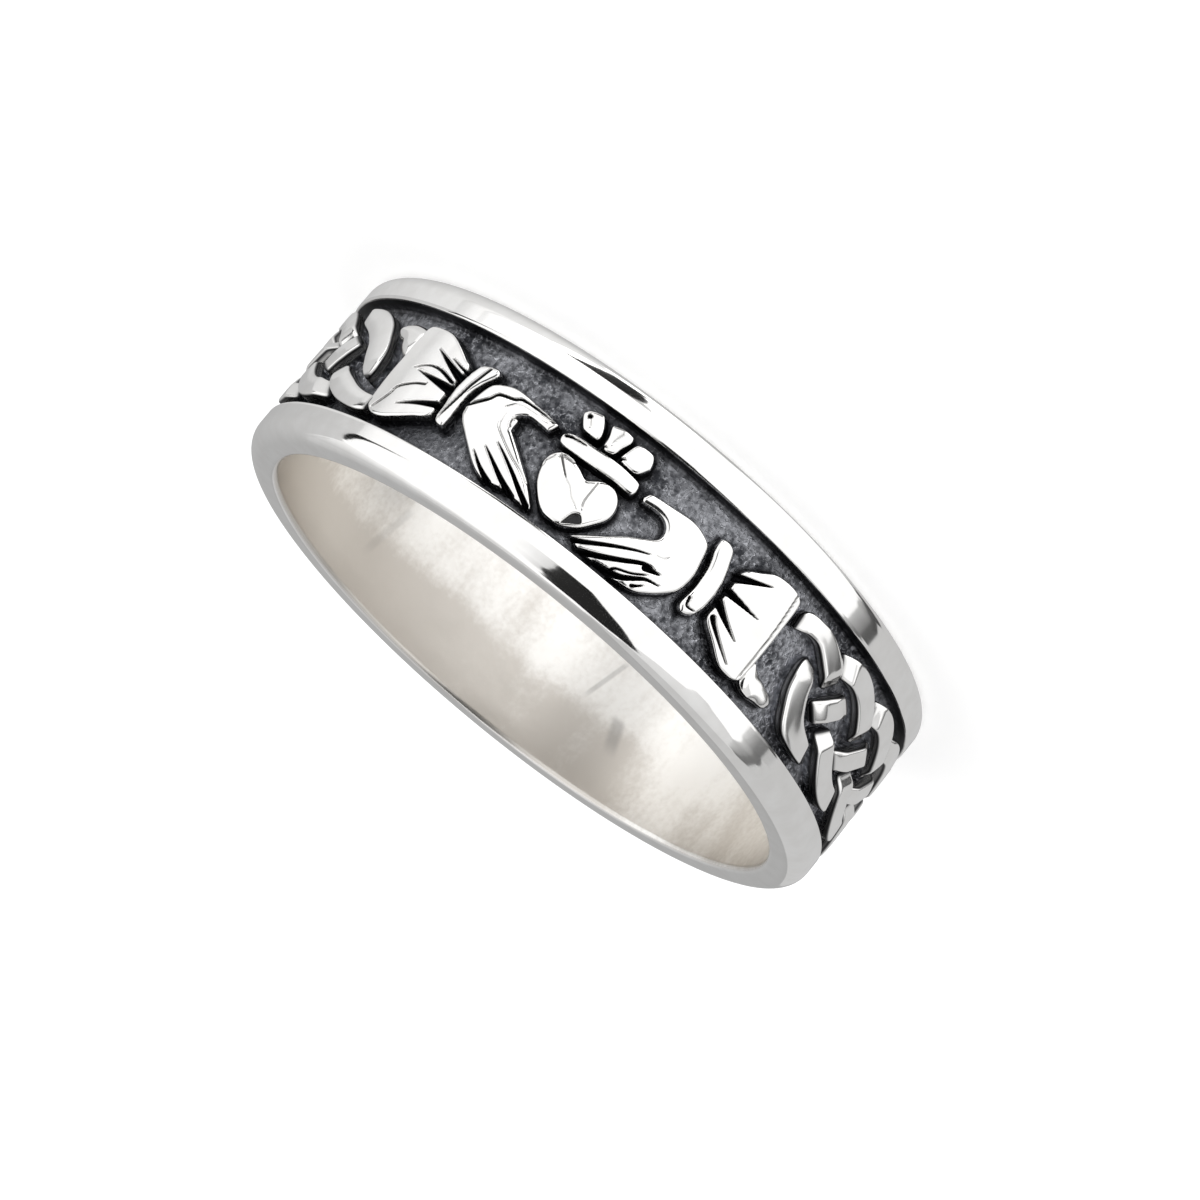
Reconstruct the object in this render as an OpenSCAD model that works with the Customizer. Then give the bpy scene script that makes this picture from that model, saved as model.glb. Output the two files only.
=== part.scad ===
// Cast silver claddagh ring with a plaited band.
//
// The ring lies on its side: the finger axis is Z, the crown's side is down and
// the point of the heart is up. The heart faces -Y.
// The relief is charted flat, as the wearer reads it: x runs to the right round
// the band from the middle of the heart, y runs up towards the crown, and h is
// the height above the floor of the channel.

/* [Band] */
// Finger bore, across
bore_d = 19; // [16:0.25:22]
// Width of the band, along the finger
band_w = 6.4; // [5.9:0.1:7.5]
// Thickness of the band at the rails
band_t = 1.25; // [1.1:0.05:1.8]
// Round on the outer corners of the rims
rim_round = 0.5; // [0.2:0.05:0.8]
// Round on the corners of the bore
bore_round = 0.2; // [0.1:0.05:0.3]

/* [Channel] */
// Width of the polished rail on each side of the channel
rail_w = 1.08; // [0.9:0.02:1.2]
// Depth of the channel below the rails
channel_t = 0.55; // [0.45:0.05:0.7]

/* [Relief] */
// Height of the relief above the channel floor
relief_t = 0.58; // [0.4:0.02:0.8]
// Width of the dark gap between two strands of the plait
strand_gap = 0.22; // [0.1:0.01:0.3]

/* [Heart] */
// Width of the heart
heart_w = 2.62; // [2.2:0.02:2.7]
// Height of the heart, from the lobes to the point
heart_h = 1.88; // [1.5:0.02:2]
// Distance from the middle of the band down to the point
heart_drop = 1.62; // [1.4:0.02:1.8]

/* [Crown] */
// Length of the crown's bar
bar_w = 2.7; // [2:0.05:2.9]
// Height of the crown's bar
bar_h = 0.4; // [0.3:0.02:0.45]
// Distance from the middle of the band up to the bar
bar_rise = 0.46; // [0.4:0.02:0.6]
// Height of the prongs on the bar
prong_h = 0.7; // [0.5:0.05:0.8]
// Width of a prong at its top
prong_w = 0.58; // [0.4:0.02:0.65]
// Gap between the bar and its prongs
prong_gap = 0.2; // [0.1:0.02:0.25]

/* [Hands] */
// Distance from the middle of the heart to the fingertips
hand_start = 0.88; // [0.8:0.02:1.1]
// Length of a hand, from the fingertips to the wrist
hand_w = 3.5; // [3.2:0.05:3.6]
// Height of a hand, from the little finger to the thumb
hand_h = 2.9; // [2.5:0.05:3]
// Distance from the middle of the band down to the middle of the hand
hand_drop = 0.4; // [0.3:0.02:0.5]
// Depth of the grooves between the fingers
finger_groove = 0.3; // [0.1:0.02:0.35]

/* [Wrist bands] */
// Distance from the middle of the heart to the wrist band
wrist_start = 4.48; // [4.45:0.01:4.6]
// Width of a wrist band
wrist_w = 0.64; // [0.4:0.02:0.7]
// Length of a wrist band, across the ring
wrist_h = 2.4; // [2:0.05:2.8]

/* [Cuffs] */
// Distance from the middle of the heart to the gathered end of the cuff
cuff_start = 5.35; // [5.3:0.01:5.6]
// Length of a cuff, from the gathers to the hem
cuff_w = 2.15; // [1.8:0.05:2.3]
// Width of a cuff at its hem
cuff_h = 3.3; // [2.8:0.05:3.5]
// How far the hem and the gathers bow away from the hand
hem_bow = 0.06; // [0.02:0.01:0.1]
// Gap between the hem and the plait
cuff_gap = 0.3; // [0.15:0.05:0.4]
// Depth of the gathers cut in a cuff
gather_t = 0.28; // [0.1:0.02:0.35]

/* [Plait] */
// Distance along the band from one crossing to the next
plait_pitch = 2.66; // [2.4:0.02:3]
// Width of a strand
strand_w = 0.74; // [0.6:0.02:0.8]
// Distance from the middle of the heart to the first middle crossing
plait_start = 11.1; // [10.8:0.05:11.4]
// How much sooner the stub beside a cuff ends than a strand of the plait
stub_short = 0.45; // [0:0.05:0.6]
// Gap between the outer edge of the plait and the wall of the channel
plait_margin = 0.32; // [0.2:0.02:0.4]

/* [Hidden] */

$fn = 64;
silver = "gainsboro";

bore_r = bore_d / 2;
band_r = bore_r + band_t;
floor_r = band_r - channel_t;
// The relief's roots reach halfway into the metal under the channel
root_t = (floor_r - bore_r) / 2;
band_round = 360 / (2 * PI * band_r);
round_the_band = 2 * PI * band_r;
// A cutting shape runs this far past the face that it cuts
cut_past = 0.2;

function lerp(a, b, t) = a + (b - a) * t;

// A point of the flat chart, laid on the band
function on_band(x, y, h) =
    let (a = x * band_round, r = floor_r + h)
    [-r * sin(a), -r * cos(a), band_w / 2 - y];

// The same rows, read from the other side of the heart
function mirrored(rows) =
    [for (i = [len(rows) - 1:-1:0]) [for (p = rows[i]) [-p[0], p[1], p[2]]]];

// The same rows, turned half a turn about the back of the band
function turned(rows) =
    [for (row = rows) [for (p = row) [round_the_band - p[0], -p[1], p[2]]]];

// One raised piece. Its rows run along the piece, the points of a row run across
// it, and its walls go straight down into the metal of the band.
module raised(rows) {
    n = len(rows) - 1;
    m = len(rows[0]) - 1;
    spots = [for (row = rows) for (p = row) p];
    rim = concat(
        [for (i = [0:n - 1]) i * (m + 1)],
        [for (j = [0:m - 1]) n * (m + 1) + j],
        [for (i = [n:-1:1]) i * (m + 1) + m],
        [for (j = [m:-1:1]) j]);
    edge = len(rim);
    first = len(spots);
    middle = [for (k = [0:1]) lerp(spots[0][k], spots[len(spots) - 1][k], 0.5)];
    points = concat(
        [for (p = spots) on_band(p[0], p[1], p[2])],
        [for (q = rim) on_band(spots[q][0], spots[q][1], -root_t)],
        [on_band(middle[0], middle[1], -root_t)]);
    top = [for (i = [0:n - 1]) for (j = [0:m - 1])
        let (a = i * (m + 1) + j, b = a + m + 1)
        each [[a, a + 1, b + 1], [a, b + 1, b]]];
    walls = [for (k = [0:edge - 1])
        let (next = (k + 1) % edge)
        each [[first + k, rim[k], rim[next]], [first + k, rim[next], first + next]]];
    root = [for (k = [0:edge - 1]) [first + edge, first + k, first + (k + 1) % edge]];
    polyhedron(points = points, faces = concat(top, walls, root));
}

// Rows between two edges. A section holds its low point, its high point and how
// full it is, and a profile holds [share across, share of the full height].
function between(sections, profile) =
    [for (s = sections) [for (c = profile)
        [lerp(s[0], s[2], c[0]), lerp(s[1], s[3], c[0]), relief_t * s[4] * c[1]]]];

// Plain cross-section of a piece: bevelled edges and a low crown
crowned = [[0, 0.75], [0.18, 0.95], [0.5, 1], [0.82, 0.95], [1, 0.75]];
// Cross-section of a narrow piece
narrow = [[0, 0.75], [0.25, 1], [0.75, 1], [1, 0.75]];

// Half of the heart's outline, from its side to its middle:
// [share of half the width, low edge and high edge as shares of the height, fullness]
heart_table = [
    [1.00, 0.64, 0.74, 0.75],
    [0.96, 0.57, 0.82, 0.90],
    [0.85, 0.42, 0.93, 1.00],
    [0.62, 0.21, 1.00, 1.06],
    [0.35, 0.06, 0.97, 1.06],
    [0.15, 0.01, 0.88, 1.02],
];
// The middle of the heart, under the notch
heart_notch = [0, 0, 0.85, 0.98];
// The lobes stand this much closer together than the low edge under them
heart_taper = 0.98;

module heart() {
    half = [for (t = heart_table)
        [-t[0] * heart_w / 2, t[1] * heart_h - heart_drop, t[2] * heart_h - heart_drop, t[3]]];
    notch = [[0, heart_notch[1] * heart_h - heart_drop,
        heart_notch[2] * heart_h - heart_drop, heart_notch[3]]];
    other = [for (i = [len(half) - 1:-1:0]) [-half[i][0], half[i][1], half[i][2], half[i][3]]];
    raised(between([for (s = concat(half, notch, other))
        [s[0], s[1], s[0] * heart_taper, s[2], s[3]]], crowned));
}

// Each prong leans by this share of its own height
prong_lean = [-0.4, 0.05, 0.4];

module crown() {
    half = bar_w / 2;
    tip = bar_h / 4;
    raised(between([
        [-half, bar_rise + tip, -half, bar_rise + bar_h - tip, 0.85],
        [-half + tip, bar_rise, -half + tip, bar_rise + bar_h, 1],
        [0, bar_rise, 0, bar_rise + bar_h, 1],
        [half - tip, bar_rise, half - tip, bar_rise + bar_h, 1],
        [half, bar_rise + tip, half, bar_rise + bar_h - tip, 0.85]], narrow));
    foot = bar_rise + bar_h + prong_gap;
    step = prong_w * 1.28;
    for (k = [0:2]) {
        lean = prong_lean[k] * prong_h;
        mid = (k - 1) * step;
        raised(between([for (side = [-1, 0, 1])
            [mid + side * prong_w * 0.32, foot,
             mid + lean + side * prong_w / 2, foot + prong_h - abs(side) * tip,
             side == 0 ? 1 : 0.85]], narrow));
    }
}

// The back of the hand and its fingers, from the fingertips to the wrist:
// [low end, high end], each as shares of the hand's length and of half its height
palm_table = [
    [0.53, -1.00, 0.00, -0.84, 0.85],
    [0.61, -0.88, 0.12, -0.55, 0.95],
    [0.69, -0.74, 0.28, -0.24, 1.00],
    [0.76, -0.62, 0.43, 0.00, 1.00],
    [0.82, -0.52, 0.54, 0.17, 1.00],
    [0.88, -0.41, 0.60, 0.48, 1.04],
    [0.93, -0.28, 0.73, 0.66, 1.04],
    [0.98, -0.10, 0.84, 0.54, 1.00],
    [1.00, 0.07, 0.95, 0.24, 0.90],
];
// How deep the grooves between the fingers are at each of those sections
palm_grooves = [1, 1, 1, 0.8, 0.3, 0, 0, 0, 0];
fingers = 4;

// The thumb, from its tip to the wrist, in the same shares
thumb_table = [
    [0.23, 0.60, 0.21, 0.81, 0.85],
    [0.41, 0.63, 0.41, 0.90, 1.00],
    [0.53, 0.60, 0.56, 0.97, 1.00],
    [0.63, 0.66, 0.69, 1.00, 1.00],
    [0.75, 0.80, 0.81, 0.95, 1.00],
    [0.86, 0.65, 0.91, 0.84, 0.95],
    [0.95, 0.37, 0.98, 0.52, 0.90],
];

function hand_sections(table) =
    [for (t = table) [
        hand_start + t[0] * hand_w, t[1] * hand_h / 2 - hand_drop,
        hand_start + t[2] * hand_w, t[3] * hand_h / 2 - hand_drop, t[4]]];

// Across the fingers: an edge, and then a crown and a groove for each finger
function palm_rows() =
    let (sections = hand_sections(palm_table), last = fingers * 3)
    [for (i = [0:len(sections) - 1])
        let (s = sections[i], cut = palm_grooves[i] * finger_groove)
        [for (j = [0:last])
            let (
                in_groove = j % 3 == 0 && j > 0 && j < last,
                at_edge = j == 0 || j == last,
                shift = j % 3 == 1 ? -0.12 : j % 3 == 2 ? 0.12 : 0,
                t = (j + shift) / last,
                full = at_edge ? 0.75 : 1)
            [lerp(s[0], s[2], t), lerp(s[1], s[3], t),
             relief_t * s[4] * full - (in_groove ? cut : 0)]]];

// One hand. side is 1 for the hand on the right and -1 for the one on the left.
module hand(side) {
    palm = palm_rows();
    thumb = between(hand_sections(thumb_table), narrow);
    raised(side > 0 ? palm : mirrored(palm));
    raised(side > 0 ? thumb : mirrored(thumb));
}

// A wrist band is a short crescent across the ring: [share of its length,
// shift away from the hand as a share of its width, share of its width, fullness]
wrist_table = [
    [-0.50, 0.00, 0.60, 0.85],
    [-0.40, 0.05, 0.90, 1.00],
    [-0.15, 0.10, 1.00, 1.04],
    [0.15, 0.00, 1.00, 1.04],
    [0.38, -0.25, 0.85, 1.00],
    [0.50, -0.45, 0.60, 0.85],
];

module wrist_band(side) {
    mid = wrist_start + wrist_w / 2;
    sections = [for (t = wrist_table)
        let (
            y = t[0] * wrist_h,
            x = mid + t[1] * wrist_w,
            half = t[2] * wrist_w / 2)
        [x + half, y, x - half, y, t[3]]];
    rows = between(sections, narrow);
    raised(side > 0 ? rows : mirrored(rows));
}

// A cuff widens from its gathers to its hem: [share of its length, low edge and
// high edge as shares of half its width, fullness]
cuff_table = [
    [0.00, -0.58, 0.56, 0.88],
    [0.21, -0.74, 0.74, 1.00],
    [0.45, -0.90, 0.91, 1.04],
    [0.69, -1.00, 0.97, 1.04],
    [0.88, -1.00, 0.96, 1.00],
    [1.00, -0.91, 0.86, 0.85],
];
// How deep the gathers are at each of those sections
cuff_gathers = [1, 1, 0.7, 0, 0, 0];
// Across a cuff: [share of its width, share of its height, 1 in a gather]
cuff_profile = [
    [0.00, 0.75, 0],
    [0.09, 0.95, 1],
    [0.20, 1.00, 0],
    [0.32, 1.00, 1],
    [0.45, 1.00, 0],
    [0.58, 1.00, 1],
    [0.70, 1.00, 0],
    [0.80, 1.00, 1],
    [0.92, 0.95, 0],
    [1.00, 0.75, 0],
];

module cuff(side) {
    rows = [for (i = [0:len(cuff_table) - 1])
        let (t = cuff_table[i], x = cuff_start + t[0] * cuff_w)
        [for (c = cuff_profile)
            [x + hem_bow * sin(180 * c[0]), lerp(t[1], t[2], c[0]) * cuff_h / 2,
             relief_t * t[3] * c[1] - gather_t * cuff_gathers[i] * c[2]]]];
    raised(side > 0 ? rows : mirrored(rows));
}

// The plait has four strands. Each swings from one side of the channel to the
// other in four pitches, and goes over one strand and under the next.
periods = round((round_the_band - 2 * plait_start) / plait_pitch);
pitch = (round_the_band - 2 * plait_start) / periods;
swing = band_w / 2 - rail_w - plait_margin - strand_w / 2;
function strand_y(d) = -swing * sin(90 * d / pitch);
function strand_slope(d) = -swing * PI / 2 / pitch * cos(90 * d / pitch);
function strand_angle(d) = atan(strand_slope(d));

// How far from the middle of a crossing the lower strand shows again, as a
// length along x. way is -1 where the strand comes out and 1 where it goes in,
// and across is -1 on its right edge and 1 on its left edge.
function hidden(d, way, across) =
    let (
        lean = strand_angle(d),
        meet = 2 * lean,
        reach = strand_w / 2 + strand_gap)
    (reach / sin(abs(meet)) + way * across * strand_w / 2 / tan(meet)) * cos(lean);

across_strand = [[-1, 0.78], [-0.55, 1], [0.55, 1], [1, 0.78]];

// One point of a strand, where d runs from its crossing on the middle line
function strand_point(from, d, across, h) =
    let (lean = strand_angle(d))
    [from + d - across * strand_w / 2 * sin(lean),
     strand_y(d) + across * strand_w / 2 * cos(lean), h];

// The stretch of a strand that shows, highest where it goes over another. An end
// under a strand follows that strand's edge, and a free start is square.
function strand_rows(from, start, end, over, steps, free_start = false) =
    [for (i = [0:steps]) [for (c = across_strand)
        let (
            out = free_start ? start : start + hidden(start, -1, c[0]),
            d = lerp(out, end - hidden(end, 1, c[0]), i / steps),
            away = (d - over) / pitch,
            full = 1.02 - 0.1 * min(1, away * away))
        strand_point(from, d, c[0], relief_t * full * c[1])]];

strand_steps = 6;
function upper_rows(from) =
    strand_rows(from, -1.5 * pitch, 0, -0.5 * pitch, strand_steps);
function lower_rows(from) =
    strand_rows(from, 0, 1.5 * pitch, 0.5 * pitch, strand_steps);
function middle_rows(from) =
    strand_rows(from, 1.5 * pitch, 2.5 * pitch, 2 * pitch, strand_steps / 2);

// Where the plait comes out from under the cuff
cuff_side = cuff_start + cuff_w + cuff_gap;
// The strand that turns back between two others at the end of the plait:
// [share of a pitch from the first middle crossing, share of the swing, fullness]
loop_table = [
    [-0.72, 0.40, 0.85],
    [-0.68, 0.08, 0.95],
    [-0.61, -0.22, 1.00],
    [-0.51, -0.54, 1.02],
    [-0.37, -0.82, 1.02],
    [-0.16, -0.94, 1.00],
];

// The strand that turns back, down to where the plain swing takes over
function loop_rows() =
    let (last = len(loop_table) - 1)
    [for (i = [0:last])
        let (
            here = loop_table[i],
            prev = loop_table[max(0, i - 1)],
            next = loop_table[min(last, i + 1)],
            lean = atan2((next[1] - prev[1]) * swing, (next[0] - prev[0]) * pitch))
        [for (c = across_strand)
            [plait_start + here[0] * pitch - c[0] * strand_w / 2 * sin(lean),
             here[1] * swing + c[0] * strand_w / 2 * cos(lean),
             relief_t * here[2] * c[1]]]];

// The three strands at the end of the plait beside a cuff: one over the top, one
// that turns back, and the stub of the one that goes under it
function plait_end() =
    let (first = cuff_side - plait_start)
    [
        strand_rows(plait_start, first, 0, -0.5 * pitch, strand_steps, true),
        concat(loop_rows(),
            strand_rows(plait_start - pitch, 1.06 * pitch, 1.5 * pitch, 0.8 * pitch, 2, true)),
        strand_rows(plait_start - 2 * pitch, first + 2 * pitch, 1.5 * pitch - stub_short,
            pitch, 3, true),
    ];

// What lies outside a round of radius r in the corner at [x, z]. out_x and out_z
// say which way the corner points.
module corner_waste(x, z, out_x, out_z, r) {
    translate([x, z]) mirror([out_x < 0 ? 1 : 0, 0]) mirror([0, out_z < 0 ? 1 : 0])
        difference() {
            translate([-r, -r]) square(r + cut_past);
            translate([-r, -r]) circle(r);
        }
}

module band() {
    rotate_extrude() difference() {
        translate([bore_r, 0]) square([band_t, band_w]);
        translate([floor_r, rail_w]) square([channel_t + cut_past, band_w - 2 * rail_w]);
        for (end = [0, 1]) {
            corner_waste(band_r, end * band_w, 1, end * 2 - 1, rim_round);
            corner_waste(bore_r, end * band_w, -1, end * 2 - 1, bore_round);
        }
    }
}

// The whole ring is one casting
module ring() {
    color(silver) union() {
        band();
        for (k = [0:periods]) raised(middle_rows(plait_start + (k - 2) * pitch));
        for (k = [1:periods]) raised(upper_rows(plait_start + k * pitch));
        for (k = [0:periods - 1]) raised(lower_rows(plait_start + k * pitch));
        for (rows = plait_end()) {
            raised(rows);
            raised(turned(rows));
        }
        heart();
        crown();
        for (side = [-1, 1]) {
            hand(side);
            wrist_band(side);
            cuff(side);
        }
    }
}

ring();
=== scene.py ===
"""Silver claddagh ring with a plaited band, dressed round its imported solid.

Shapes are given in millimetres on a flat chart of the band: s runs to the right
round the band from the middle of the heart, t runs up towards the crown, and h is
the height above the floor of the channel.
"""

import math

import bmesh
import bpy
import numpy as np
from mathutils import Matrix, Vector


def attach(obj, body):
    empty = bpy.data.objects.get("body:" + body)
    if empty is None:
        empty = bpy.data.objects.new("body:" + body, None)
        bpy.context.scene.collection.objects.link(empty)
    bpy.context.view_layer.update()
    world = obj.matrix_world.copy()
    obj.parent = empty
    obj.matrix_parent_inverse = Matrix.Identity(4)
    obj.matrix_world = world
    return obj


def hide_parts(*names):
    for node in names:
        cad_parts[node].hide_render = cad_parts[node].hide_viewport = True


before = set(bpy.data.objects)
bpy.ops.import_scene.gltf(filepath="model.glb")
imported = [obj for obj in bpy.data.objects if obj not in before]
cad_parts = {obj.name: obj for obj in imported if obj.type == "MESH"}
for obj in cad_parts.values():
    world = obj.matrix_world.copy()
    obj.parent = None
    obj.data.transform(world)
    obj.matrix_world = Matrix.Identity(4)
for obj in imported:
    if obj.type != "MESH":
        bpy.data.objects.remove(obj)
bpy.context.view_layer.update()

# The camera looks across the ring, which lies on its side, at the right of the
# heart and a little down on it. It is tipped right over, so that the heart
# stands upright in the picture.
MM = 0.001
BAND_R = 10.75
BAND_W = 6.4
view_turn = 2.0 / BAND_R
view_rise = 0.24132
view_roll = -2.45239
view_distance = 195.27
view_aside = 0.4972
view_below = 0.3840
lens_length = 192.28
back = Vector(
    (
        -math.sin(view_turn) * math.cos(view_rise),
        -math.cos(view_turn) * math.cos(view_rise),
        math.sin(view_rise),
    )
)
level = Vector((math.cos(view_turn), -math.sin(view_turn), 0))
upright = back.cross(level)
view_right = math.cos(view_roll) * level + math.sin(view_roll) * upright
view_up = math.cos(view_roll) * upright - math.sin(view_roll) * level
view_from = Vector((0, 0, BAND_W / 2)) + view_distance * back
view_from += view_aside * view_right - view_below * view_up
camera = bpy.data.objects.new("camera", bpy.data.cameras.new("camera"))
camera.data.sensor_width = 36
camera.data.lens = lens_length
camera.data.clip_start = 0.01
camera.data.clip_end = 10
camera.matrix_world = Matrix.Translation(view_from * MM) @ Matrix(
    (view_right, view_up, back)
).transposed().to_4x4()
bpy.context.scene.collection.objects.link(camera)
bpy.context.scene.camera = camera


# Sterling silver, cast in one piece. The rails and the tops of the relief are polished
# bright, the channel is grained and blackened with patina, partly with painted shade,
# and the bore is satin, with painted shade, painted light and painted reflections in its colour.
class Field:
    """A socket of the silver's nodes. Arithmetic on it adds Math nodes."""

    def __init__(self, tree, socket=None):
        self.tree = tree
        self.socket = socket

    def node(self, kind, settings=(), values=(), output=0):
        made = self.tree.nodes.new(kind)
        for name, value in dict(settings).items():
            setattr(made, name, value)
        for name, value in dict(values).items():
            if isinstance(value, Field):
                self.tree.links.new(value.socket, made.inputs[name])
            else:
                made.inputs[name].default_value = value
        return Field(self.tree, made.outputs[output])

    def maths(self, operation, *values):
        return self.node("ShaderNodeMath", {"operation": operation}, enumerate(values))

    def __add__(self, other):
        return self.maths("ADD", self, other)

    def __sub__(self, other):
        return self.maths("SUBTRACT", self, other)

    def __rsub__(self, other):
        return self.maths("SUBTRACT", other, self)

    def __mul__(self, other):
        return self.maths("MULTIPLY", self, other)

    __radd__ = __add__
    __rmul__ = __mul__

    def root(self):
        return self.maths("SQRT", self)

    def rise(self, low, high):
        """0 below low and 1 above high, with a smooth step between them"""
        return self.node(
            "ShaderNodeMapRange",
            {"interpolation_type": "SMOOTHSTEP"},
            {"Value": self, "From Min": low, "From Max": high},
        )

    def blend(self, first, second):
        """first where this mask is 0 and second where it is 1, as colours"""
        return self.node(
            "ShaderNodeMix", {"data_type": "RGBA"}, {0: self, 6: first, 7: second}, 2
        )

    def grain(self, stretch, size, detail=2.0):
        """Cloudy noise with features of about size millimetres, from this place"""
        spread = self.node(
            "ShaderNodeVectorMath", {"operation": "MULTIPLY"}, {0: self, 1: stretch}
        )
        return self.node(
            "ShaderNodeTexNoise", (), {"Vector": spread, "Scale": 1 / size, "Detail": detail}
        )


BORE_R = 9.5
FLOOR_R = 10.2
# the channel's two walls, along the finger
CHANNEL = (1.07, 5.27)
POLISHED = (0.96, 0.955, 0.945, 1)
TARNISHED = (0.90, 0.89, 0.875, 1)
PATINA_AND_SHADE_BLACK = (0.012, 0.012, 0.014, 1)
CHANNEL_DARK = (0.04, 0.042, 0.048, 1)
CHANNEL_PALE = (0.6, 0.61, 0.65, 1)
SATIN_DARK = (0.68, 0.645, 0.60, 1)
SATIN_PALE = (0.99, 0.975, 0.945, 1)
STREAK_DARK = (0.34, 0.33, 0.32, 1)
# painted dark reflections in the bore, laid on as streaks: ends as (x, z), half width, strength
painted_streaks = [
    ((7.06, 3.0), (7.3, 4.9), 0.16, 0.2),
    ((-0.87, 2.0), (-0.47, 3.5), 0.13, 0.4),
    ((-1.85, 3.65), (-2.2, 4.6), 0.34, 0.5),
]


def between(field, low, high, blur):
    """1 between low and high, fading to 0 within blur outside them"""
    return field.rise(low - blur, low) * (1 - field.rise(high, high + blur))


def satin_and_shade_of_bore(x, y, z, smear, grit):
    """The bore's brushed tones, with painted shade past its lower middle and towards its
    ends, painted light at two places near its mouth, and painted dark reflections laid
    on as streaks"""
    # painted shade past the lower middle of the bore
    shade = z.rise(3.4, 4.5) * x.rise(-4.8, -2.4) * (1 - x.rise(5, 8.5)) * 0.38
    shade = shade + z.rise(3.9, 5.2) * x.rise(3, 6.5) * 0.32
    # painted light at two places near the bore's mouth
    lit = x.rise(-7, -5) * (1 - x.rise(-4, -2.6)) + x.rise(5.5, 7)
    lit = lit * (1 - z.rise(4.2, 5.2)) * 0.14
    # brushed grain, less painted shade towards the bore's ends and the shade above, plus the painted light
    tone = 0.17 + smear * 0.6 + (grit - 0.5) * 0.3 - (x * x).rise(20, 85) * 0.25 - shade + lit
    satin = tone.rise(0.12, 0.62).blend(SATIN_DARK, SATIN_PALE)
    # each streak is a painted dark reflection on the far side of the bore
    for first, last, half, strength in painted_streaks:
        lean = (last[0] - first[0]) / (last[1] - first[1])
        aside = x - (z - first[1]) * lean - first[0]
        streak = 1 - aside.maths("ABSOLUTE", aside).rise(half * 0.3, half)
        streak = streak * z.rise(first[1] - 0.15, first[1] + 0.15)
        streak = streak * (1 - z.rise(last[1] - 0.3, last[1] + 0.3))
        satin = (streak * y.rise(0, 1) * strength).blend(satin, STREAK_DARK)
    return satin


def make_silver():
    material = bpy.data.materials.new("silver")
    material.use_nodes = True
    tree = material.node_tree
    shader = tree.nodes["Principled BSDF"]
    start = Field(tree)
    place = start.node("ShaderNodeTexCoord", output="Object")
    place = start.node(
        "ShaderNodeVectorMath", {"operation": "SCALE"}, {0: place, "Scale": 1 / MM}
    )
    x, y, z = (start.node("ShaderNodeSeparateXYZ", (), {0: place}, k) for k in range(3))
    radius = (x * x + y * y).root()
    grit = place.grain((1, 1, 1), 0.17, 4.0)
    cloud = place.grain((1, 1, 1), 0.6)
    patches = place.grain((1, 1, 1), 1.5, 1.0)
    smear = place.grain((1, 1, 0.35), 1.1, 3.0)

    # where the bore, the channel, its lower walls, black with patina and painted shade, and its worn floor
    # are
    low_wall, high_wall = CHANNEL
    bore = 1 - radius.rise(BORE_R + 0.02, BORE_R + 0.12)
    inside = between(z, low_wall, high_wall, 0.03) * (1 - bore)
    worn = radius + (cloud - 0.5) * 0.05
    side = 1 - z.rise(low_wall + 0.06, low_wall + 0.1) + z.rise(high_wall - 0.1, high_wall - 0.06)
    # deep places and a band along each wall turn black, partly patina and partly painted shade
    sunk = inside * (1 - worn.rise(10.44, 10.55))
    sunk = sunk.maths("MAXIMUM", sunk, inside * side * (1 - worn.rise(10.64, 10.71)))
    ragged = z + (cloud - 0.5) * 0.25
    open_floor = between(ragged, low_wall + 0.28, high_wall - 0.28, 0.24)
    # near the walls the floor's pale grain gives way to black, partly patina and partly painted shade
    floor = inside * (1 - radius.rise(FLOOR_R + 0.12, FLOOR_R + 0.3)) * (0.25 + open_floor * 0.75)
    chased = inside * (1 - sunk)
    # each piece's darkening: patina and painted shade in its cuts, on its falling edges and walls, and
    # painted shadow on the floor round it
    patina_and_shade = start.node("ShaderNodeAttribute", {"attribute_name": "darkened"}, output=2)

    # the floor's grain: pale where the black has worn off, with bright crumbs
    crumbs = place.grain((1, 1, 1), 0.22, 1.0) - 0.5
    crumbs = (1 - crumbs.maths("ABSOLUTE", crumbs).rise(0, 0.05)) * grit.rise(0.4, 0.62)
    pale = (grit * 0.5 + patches * 0.5).rise(0.33, 0.68) * 0.75 + crumbs * 1.4
    # darker over one patch of the floor, at x 2 to 6 mm and z 3.4 to 4.6 mm, and a little lighter towards
    # negative x
    pale = pale * (1 - x.rise(2, 6) * z.rise(3.4, 4.6) * 0.85) * (1.12 - x.rise(-5, -3) * 0.12)

    polish = cloud.rise(0.2, 0.8).blend(TARNISHED, POLISHED)
    colour = bore.blend(polish, satin_and_shade_of_bore(x, y, z, smear, grit))
    colour = sunk.blend(colour, PATINA_AND_SHADE_BLACK)
    colour = floor.blend(colour, pale.blend(CHANNEL_DARK, CHANNEL_PALE))
    colour = patina_and_shade.blend(colour, PATINA_AND_SHADE_BLACK)
    rough = 0.06 + cloud * 0.03 + bore * 0.24 + sunk * 0.42 + chased * (0.03 + patina_and_shade * 0.35)
    height = (smear + cloud * 0.5) * bore * 0.5 + (grit * 3 + crumbs) * floor
    height = height + cloud * sunk * 0.4 + cloud * (1 - bore) * (1 - sunk) * 0.035
    normal = start.node(
        "ShaderNodeBump", (), {"Strength": 1.0, "Distance": 0.02 * MM, "Height": height}
    )
    for name, value in (("Base Color", colour), ("Roughness", rough), ("Normal", normal)):
        tree.links.new(value.socket, shader.inputs[name])
    shader.inputs["Metallic"].default_value = 1.0
    return material


silver = make_silver()


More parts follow.
